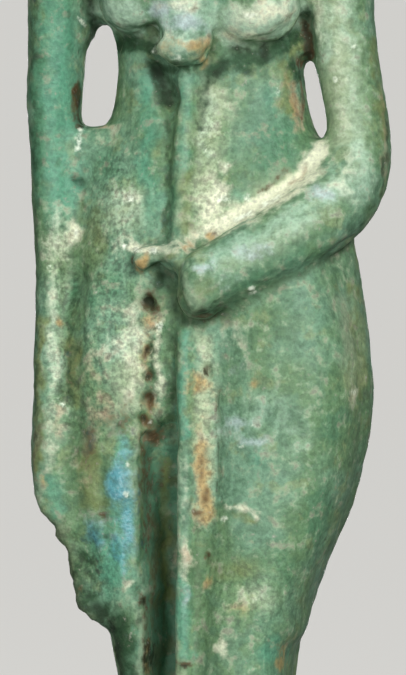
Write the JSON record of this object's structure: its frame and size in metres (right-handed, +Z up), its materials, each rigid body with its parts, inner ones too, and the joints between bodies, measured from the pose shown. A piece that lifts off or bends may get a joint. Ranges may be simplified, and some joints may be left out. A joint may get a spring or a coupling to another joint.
{
  "type": "lioness-headed goddess figurine",
  "caption": "Moulded and glazed figurine of a striding lioness-headed goddess with a papyrus sceptre, on a low base with a plain back pillar",
  "frame": {"origin": "middle of the flat underside of the base", "axes": "+Z up to the top of the wig, -Y the way she faces, +X to her left"},
  "size_m": [0.0258, 0.031, 0.1148],
  "materials": {
    "faience": "pale green glaze, half matt and worn"
  },
  "bodies": {
    "root": {"goddess_figurine": "faience"}
  },
  "joints": []
}
